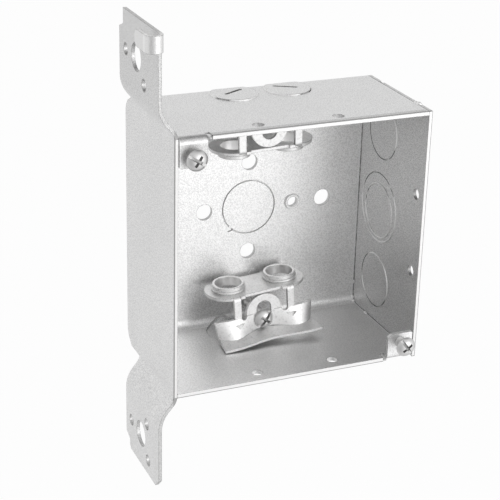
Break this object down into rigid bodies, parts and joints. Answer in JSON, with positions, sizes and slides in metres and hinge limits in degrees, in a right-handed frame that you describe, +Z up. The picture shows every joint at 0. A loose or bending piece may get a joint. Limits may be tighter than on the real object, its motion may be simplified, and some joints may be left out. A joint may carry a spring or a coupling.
{
  "type": "square junction box",
  "caption": "Square steel junction box with knockouts, inside clamps for armoured cable, cover screws and a side bracket with a hook.",
  "frame": {"origin": "centre of the back's outer face", "axes": "+Y out of the back, -Y out of the open side, +Z up along the bracket, +X away from the bracket"},
  "size_m": [0.113, 0.0608, 0.1778],
  "materials": {
    "galvanized_sheet": "satin zinc coat",
    "clamp_steel": "bright zinc plate",
    "screw_steel": "zinc plate"
  },
  "bodies": {
    "box": {"box_body": "galvanized_sheet", "right_side_plate": "galvanized_sheet", "bracket_side_plate": "galvanized_sheet"},
    "lower_clamp": {"lower_clamp": "clamp_steel"},
    "lower_clamp_screw": {"lower_clamp_screw": "screw_steel"},
    "upper_clamp": {"upper_clamp": "clamp_steel"},
    "upper_clamp_screw": {"upper_clamp_screw": "screw_steel"},
    "upper_cover_screw": {"upper_cover_screw": "screw_steel"},
    "lower_cover_screw": {"lower_cover_screw": "screw_steel"}
  },
  "joints": [
    {"name": "lower_clamp_slide", "type": "slide", "parent": "box", "child": "lower_clamp", "axis": [0, 1, 0], "range_m": [-0.0016, 0.0006]},
    {"name": "lower_clamp_screw_turn", "type": "hinge", "parent": "lower_clamp", "child": "lower_clamp_screw", "pos_m": [0, -0.0197, -0.0412], "axis": [0, 1, 0], "range_deg": [-765, 310]},
    {"name": "upper_clamp_slide", "type": "slide", "parent": "box", "child": "upper_clamp", "axis": [0, 1, 0], "range_m": [-0.0016, 0.0006]},
    {"name": "upper_clamp_screw_turn", "type": "hinge", "parent": "upper_clamp", "child": "upper_clamp_screw", "pos_m": [0, -0.0197, 0.0412], "axis": [0, 1, 0], "range_deg": [-765, 310]},
    {"name": "upper_cover_screw_turn", "type": "hinge", "parent": "box", "child": "upper_cover_screw", "pos_m": [-0.0436, -0.0563, 0.0432], "axis": [0, 1, 0], "range_deg": [-180, 180]},
    {"name": "lower_cover_screw_turn", "type": "hinge", "parent": "box", "child": "lower_cover_screw", "pos_m": [0.0436, -0.0584, -0.0432], "axis": [0, 1, 0], "range_deg": [-180, 180]}
  ],
  "couplings": [
    {"joint": "lower_clamp_screw_turn", "follows": "lower_clamp_slide", "rad_per_m": 7915.8},
    {"joint": "upper_clamp_screw_turn", "follows": "upper_clamp_slide", "rad_per_m": 7915.8}
  ]
}
